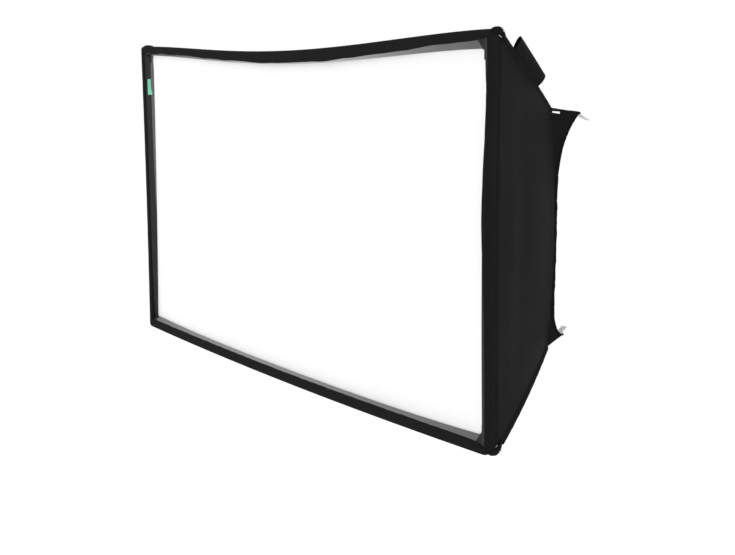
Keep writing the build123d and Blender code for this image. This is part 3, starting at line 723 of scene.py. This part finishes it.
def corner_boot(side, level, name):
    """Cloth patch wrapped round the outside of a front corner, over the rod's pivot."""
    def place(u, v):
        y = BOOT_Y[0] + (BOOT_Y[-1] - BOOT_Y[0]) * v
        back = np.clip(1 - y / RIM_BACK, 0, 1)
        reach = np.interp(y, BOOT_Y, BOOT_OUT) * DIAGONAL
        radius = np.interp(y, BOOT_Y, BOOT_R) * DIAGONAL
        angle = BOOT_SPAN * (2 * u - 1)
        out, flank = radius * np.cos(angle), radius * np.sin(angle)
        return (side * (HALF_W - TAPER * back + reach + out + flank), y,
                level * (HALF_H - TAPER * back + reach + out - flank))

    return cloth(name, place, 16, 26, SLEEVE_CLOTH, (0.03, 0.05), thick=0.0007,
                 inward=(side * level < 0))


for side_name, side in SIDES:
    for level_name, level in (("top", 1), ("bottom", -1)):
        boot = corner_boot(side, level, f"corner_boot_{level_name}_{side_name}")
        modifier(boot, "SUBSURF", levels=1, render_levels=1)
        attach(boot, "front_" + side_name)
    both = [ridge_sleeve(side, level, f"sleeve_{level}") for level in (1, -1)]
    sleeve = joined(f"ridge_sleeves_{side_name}_cloth", *both)
    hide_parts(f"ridge_sleeves_{side_name}")
    pieces["front_" + side_name].append(sleeve)

# ---------------------------------------------------------------- rear collar and its hem
COLLAR_MID = 0.010                  # depth in the middle of each edge
TOP_COLLAR = COLLAR_END + 0.0055    # depth of the collar's upper corners
LOW_COLLAR = 0.042                  # and of its lower ones
DRAW_SIDE, DRAW_TOP, DRAW_LOW = 0.002, 0.010, 0.020     # how far the corners draw in
GAP_LOW, GAP_HIGH, GAP_END = 0.2085, 0.2155, 0.024      # unsewn gap beside the upper corners
POINT = 0.004                       # stretch at a corner with the full depth
HEM_R = 0.0019                      # half the thickness of the rolled hem


def collar_depth(u):
    """Depth of the collar behind the seam: deep corners, drawn in by the elastic between."""
    x, z = ring(u, (REAR_HALF_W, REAR_HALF_H), (REAR_HALF_W, -REAR_HALF_H), 0, 0, 0.008)
    part = part_of(u)
    upright = np.isin(part, SIDE_PARTS)
    upper = np.clip(z / (REAR_HALF_H - POINT), 0, 1)
    lower = np.clip(-z / (REAR_HALF_H - POINT), 0, 1)
    along = np.clip(np.abs(x) / (REAR_HALF_W - POINT), 0, 1)
    corners = np.where(z > 0, TOP_COLLAR, LOW_COLLAR)
    sides = (COLLAR_MID + (TOP_COLLAR - COLLAR_MID) * upper ** 3.4
             + (LOW_COLLAR - COLLAR_MID) * lower ** 8)
    longs = COLLAR_MID + (corners - COLLAR_MID) * along ** 7
    return np.where(upright, sides, np.where(np.isin(part, LONG_PARTS), longs, corners))


def collar_point(u, v, inset):
    """Collar surface: v runs 0 at the rear seam to 1 at the hem."""
    _, y0, z0 = body_point(u, 1.0 + 0 * u, inset)
    depth = collar_depth(u)
    pull = (v * depth / np.where(z0 > 0, TOP_COLLAR, LOW_COLLAR)) ** 0.9
    edge_x = REAR_HALF_W - inset - DRAW_SIDE * pull
    x, z = ring(u, (edge_x, REAR_HALF_H - inset - DRAW_TOP * pull),
                (edge_x, -REAR_HALF_H + inset + DRAW_LOW * pull),
                REAR_SAG, REAR_SAG, np.maximum(POINT - inset, 0.002))
    gather = 0.0010 * wave(u, 60, 15) * v * bump_at(depth, COLLAR_MID, 0.02)
    y = y0 + depth * v - y0 * ease(v) * 0.4
    return x - np.sign(x) * gather, np.maximum(y, 0.0004), z - np.sign(z) * gather


def gap_faces(x, y, z):
    """Unsewn stretch of the collar beside its upper corners."""
    return ((np.abs(x) > REAR_HALF_W - 0.006) & (y > 0.005) & (y < GAP_END)
            & (z > GAP_LOW) & (z < GAP_HIGH))


def half_round(side):
    """Steps from the middle of the top edge down one side to the middle of the bottom."""
    if side > 0:
        return HALF_LONG, BREAKS[4] + HALF_LONG
    return BREAKS[4] + HALF_LONG, AROUND + HALF_LONG


def half_collar(side, side_name):
    """One half of the collar and its elastic hem."""
    first, last = half_round(side)
    turn = stretch_of(first, last)
    steps = int(last - first)
    skin = cloth(f"collar_{side_name}", lambda u, v: collar_point(turn(u), v, 0.0), steps, 14,
                 BLACK_CLOTH, (steps * 0.0068, 0.06), thick=0.0012, opening=gap_faces)
    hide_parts(f"rear_collar_{side_name}")

    def place_hem(u, v):
        around = turn(v)
        x, y, z = collar_point(around, 1.0 + 0 * u, 0.0006)
        angle = 2 * math.pi * u
        radius = HEM_R * (1 + 0.10 * wave(v, 150, 16))
        straight = [np.isin(part_of(around), SIDE_PARTS), np.isin(part_of(around), LONG_PARTS)]
        nx = np.sign(x) * np.select(straight, [1.0, 0.0], DIAGONAL)
        nz = np.sign(z) * np.select(straight, [0.0, 1.0], DIAGONAL)
        return (x + nx * radius * np.cos(angle), y - 0.0022 + 2.1 * radius * np.sin(angle),
                z + nz * radius * np.cos(angle))

    hem = cloth(f"hem_{side_name}", place_hem, 10, steps, ELASTIC, (0.012, 1.8), closed=True)
    edit(hem, ("fill_holes", {"sides": 0}), ("normals_make_consistent", {"inside": False}))
    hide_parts(f"collar_hem_{side_name}")
    return [skin, hem]


for side_name, side in SIDES:
    pieces["front_" + side_name] += half_collar(side, side_name)

# ---------------------------------------------------------------- pull tabs
PULL_W = 0.014


def pull_tab(side, level, name):
    """Flat webbing tab from the collar's corner, slanting back towards the middle."""
    depth = TOP_COLLAR if level > 0 else LOW_COLLAR
    length = 0.034 if level > 0 else 0.019
    inside = DRAW_TOP - 0.001 if level > 0 else DRAW_LOW + 0.0015
    start = np.array([side * (REAR_HALF_W - 0.0105), depth - 0.003,
                      level * (REAR_HALF_H - inside)])
    lean = math.radians(28 if level > 0 else 42)

    def place(u, v):
        run = length * v
        drop = run * math.sin(lean) + 0.0016 * np.sin(math.pi * v)
        return (start[0] + PULL_W * (u - 0.5), start[1] + run * math.cos(lean),
                start[2] - level * drop + 0.0002 * np.cos(9 * u))

    return cloth(name, place, 10, 20, WHITE_WEBBING, (PULL_W, length), thick=0.0016,
                 inward=(level < 0))


for side_name, side in SIDES:
    tabs = joined(f"pull_tabs_{side_name}_webbing",
                  *[pull_tab(side, level, f"tab_{level}") for level in (1, -1)])
    modifier(tabs, "SUBSURF", levels=1, render_levels=1)
    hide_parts(f"pull_tabs_{side_name}")
    pieces["front_" + side_name].append(tabs)

# ---------------------------------------------------------------- blank label loop
LABEL_FROM, LABEL_TO = 0.245, 0.720
LABEL_OUT = 0.0262                  # how far the loop stands out
LABEL_ROOT = 0.0062                 # where it leaves the ridge


def place_label(u, v):
    """Flattened loop of tape standing out of the upper right ridge, open at both ends."""
    back = LABEL_FROM + (LABEL_TO - LABEL_FROM) * v
    base, _, flank = ridge_axes(1, 1, back)
    outward = np.array([DIAGONAL, 0.0, DIAGONAL])
    angle = 2 * math.pi * u
    reach = LABEL_ROOT + LABEL_OUT * 0.5 * (1 - np.cos(angle))
    mouth = 0.0030 + 0.0012 * np.abs(2 * v - 1) ** 3
    side = mouth * np.sin(angle) * (0.35 + 0.65 * (reach / LABEL_OUT))
    spot = base + outward * reach[:, None] + flank * side[:, None]
    return spot[:, 0], spot[:, 1], spot[:, 2]


label = cloth("label_loop_tape", place_label, 40, 36, LABEL_TAPE, (0.06, 0.15), closed=True,
              thick=0.0009)
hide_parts("label_loop")
pieces["front_right"].append(label)

# ---------------------------------------------------------------- release tab
tab_low, tab_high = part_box("release_tab")


def place_release(u, v):
    """Small cloth tab on the slanted tape, curling a little away at its free edge."""
    share = 0.40 + 0.75 * u
    x = tab_low[0] + (tab_high[0] - tab_low[0]) * share + 0.003
    y = (np.minimum(tab_low[1] + (tab_high[1] - tab_low[1]) * share, DIFFUSER_Y) - 0.0012
         - 0.003 * bump_at(v, 0.0, 0.3) * u)
    z = tab_low[2] + (tab_high[2] - tab_low[2]) * v + 0.0006 * wave(u, 1.5, 17)
    return x, y, z


release = cloth("release_tab_tape", place_release, 16, 24, GREEN_TAPE, (0.018, 0.038),
                thick=0.0008)
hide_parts("release_tab")
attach(release, "front_left")


# ================================================================ riding
for body, cloths in pieces.items():
    for piece in cloths:
        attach(piece, body)
        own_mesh(piece)

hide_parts(*[f"rim_{part}_{side}" for part in ("top", "bottom", "side")
                   for side in ("left", "right")])
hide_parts("loop_tape_left", "loop_tape_right")
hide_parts("diffuser_left", "diffuser_right")
for piece in (rim, tape, diffuser):
    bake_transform(piece)
for panels in pieces.values():
    for piece in panels:
        "_panel_" in piece.name

# ================================================================ finishes of the CAD nodes
NODE_FINISH = {"front_rod": FRAME_ROD, "side_rod": FRAME_ROD, "ridge_rod": PALE_ROD,
               "ridge_stubs": PALE_ROD, "corner_joint": PLASTIC, "ridge_eye": PLASTIC,
               "ridge_cap": PLASTIC, "hinge_leaf": HINGE_METAL, "hinge_pins": STEEL,
               "ridge_pins": STEEL}
for node_name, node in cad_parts.items():
    for start, finish in NODE_FINISH.items():
        if node_name.startswith(start):
            node.data.materials.clear()
            node.data.materials.append(finish)

# ================================================================ floor, light, camera
deselect()
bpy.ops.mesh.primitive_plane_add(size=60, location=(0, 0, -1.9))
floor = bpy.context.object
floor.name = "floor"
paper = Finish("floor_paper", Roughness=0.9, Specular_IOR_Level=0.1, Emission_Strength=0.12)
paper.shader.inputs["Emission Color"].default_value = (1, 1, 1, 1)
paper.plug("Base Color", paper.mix(paper.noise(0.6, 2.0), (0.90, 0.90, 0.90, 1),
                                   (0.93, 0.93, 0.93, 1)))
floor.data.materials.append(paper.material)

world = bpy.data.worlds.new("studio")
bpy.context.scene.world = world
world.use_nodes = True
world.node_tree.nodes["Background"].inputs["Color"].default_value = (1, 1, 1, 1)
world.node_tree.nodes["Background"].inputs["Strength"].default_value = 1.0


def soft_light(name, spot, aim, size, power):
    """Rectangular lamp at spot, facing aim."""
    deselect()
    bpy.ops.object.light_add(type="AREA", location=spot)
    lamp = bpy.context.object
    lamp.name = name
    lamp.data.shape = "RECTANGLE"
    lamp.data.size, lamp.data.size_y = size
    lamp.data.energy = power
    lamp.rotation_euler = (Vector(aim) - Vector(spot)).to_track_quat("-Z", "Y").to_euler()


soft_light("key_light", (-2.6, -3.4, 2.6), (0, 0, 0), (1.6, 1.6), 30)
soft_light("side_light", (3.6, 0.6, 1.6), (0.5, 0, 0), (1.2, 1.8), 14)

# The camera stands at the right of the front, a little above the middle.
SENSOR, LENS = 36.0, 450 / 7
YAW, PITCH, ROLL = 1.0023, -0.1541, -0.0067
CAMERA_SPOT = Vector((2.3811, FRONT - 1.3054, 0.2810))
forward = Vector((-math.sin(YAW) * math.cos(PITCH), math.cos(YAW) * math.cos(PITCH),
                  math.sin(PITCH)))
level_right = Vector((math.cos(YAW), math.sin(YAW), 0))
level_up = level_right.cross(forward)
right = level_right * math.cos(ROLL) + level_up * math.sin(ROLL)
up = right.cross(forward)
deselect()
bpy.ops.object.camera_add()
camera = bpy.context.object
camera.data.sensor_width = SENSOR
camera.data.lens = LENS
camera.data.clip_end = 200
axes = Matrix((right, up, -forward)).transposed().to_4x4()
camera.matrix_world = Matrix.Translation(CAMERA_SPOT) @ axes
bpy.context.scene.camera = camera
bpy.context.scene.view_settings.view_transform = "Standard"
